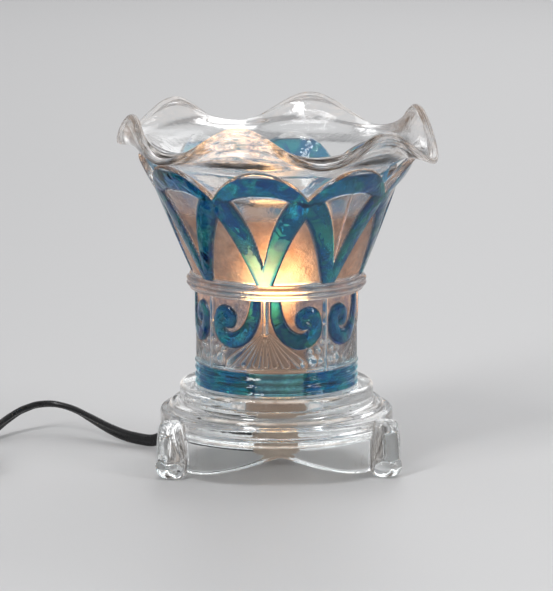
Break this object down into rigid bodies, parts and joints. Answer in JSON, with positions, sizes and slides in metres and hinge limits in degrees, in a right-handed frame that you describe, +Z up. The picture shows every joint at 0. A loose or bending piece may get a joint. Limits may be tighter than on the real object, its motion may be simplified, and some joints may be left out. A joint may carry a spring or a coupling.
{
  "type": "electric aroma warmer",
  "caption": "Electric aroma warmer: ruffled glass oil dish on a flared blue-stained pressed-glass shade over a screw-in bulb, stepped clear-glass base, flat cord with dimmer.",
  "frame": {"origin": "on the table under the middle of the base, level with the bottoms of the feet", "axes": "+Z up, -Y towards the front arch of the base, +X to the right seen from the front"},
  "size_m": [0.3378, 0.1563, 0.1614],
  "materials": {
    "clear_glass": "polished",
    "stained_glass": "polished",
    "bulb_glass": "clear, warm when lit",
    "cream_plastic": "moulded",
    "silicone": "matte",
    "brass": "plain",
    "steel": "plain",
    "black_pvc": "satin",
    "black_plastic": "fine texture",
    "board": "solder mask"
  },
  "bodies": {
    "base": {"glass_base": "clear_glass", "holder_body": "cream_plastic", "upper_gasket": "silicone", "lower_gasket": "silicone", "lock_ring": "cream_plastic", "terminal_block": "cream_plastic", "terminal_screws": "brass", "screw_shell": "brass", "contact_spring": "steel", "leads": "black_pvc", "holder_cap": "cream_plastic", "cord_boot": "black_pvc", "cord_lead": "black_pvc", "dimmer_lower": "black_plastic", "dimmer_upper": "black_plastic", "dimmer_pin": "steel", "dimmer_board": "board", "dimmer_screws": "steel", "cord_mid": "black_pvc", "cord_coil": "black_pvc", "cord_tie": "black_plastic", "cord_end": "black_pvc", "plug_body": "black_plastic", "plug_blades": "brass"},
    "contact": {"centre_contact": "brass"},
    "bulb": {"bulb_glass": "bulb_glass", "bulb_cap": "brass", "bulb_insulator": "black_plastic", "bulb_contact": "steel", "bulb_stem": "bulb_glass", "bulb_filament": "steel"},
    "shade": {"shade": "stained_glass"},
    "dish": {"oil_dish": "clear_glass"},
    "wheel": {"dimmer_wheel": "black_plastic"}
  },
  "joints": [
    {"name": "shade_lift", "type": "slide", "parent": "base", "child": "shade", "axis": [0, 0, 1], "range_m": [0, 0.07]},
    {"name": "dish_lift", "type": "slide", "parent": "shade", "child": "dish", "axis": [0, 0, 1], "range_m": [0, 0.05]},
    {"name": "contact_rise", "type": "slide", "parent": "base", "child": "contact", "axis": [0, 0, 1], "range_m": [0, 0.00282], "deforming": ["contact_spring"]},
    {"name": "bulb_turn", "type": "hinge", "parent": "contact", "child": "bulb", "pos_m": [0, 0, 0.06], "axis": [0, 0, 1], "range_deg": [0, 360]},
    {"name": "dimmer_turn", "type": "hinge", "parent": "base", "child": "wheel", "pos_m": [-0.148, -0.015, 0.008], "axis": [0, 0, 1], "range_deg": [0, 270]}
  ],
  "couplings": [
    {"joint": "bulb_turn", "follows": "contact_rise", "rad_per_m": 2226.3}
  ]
}
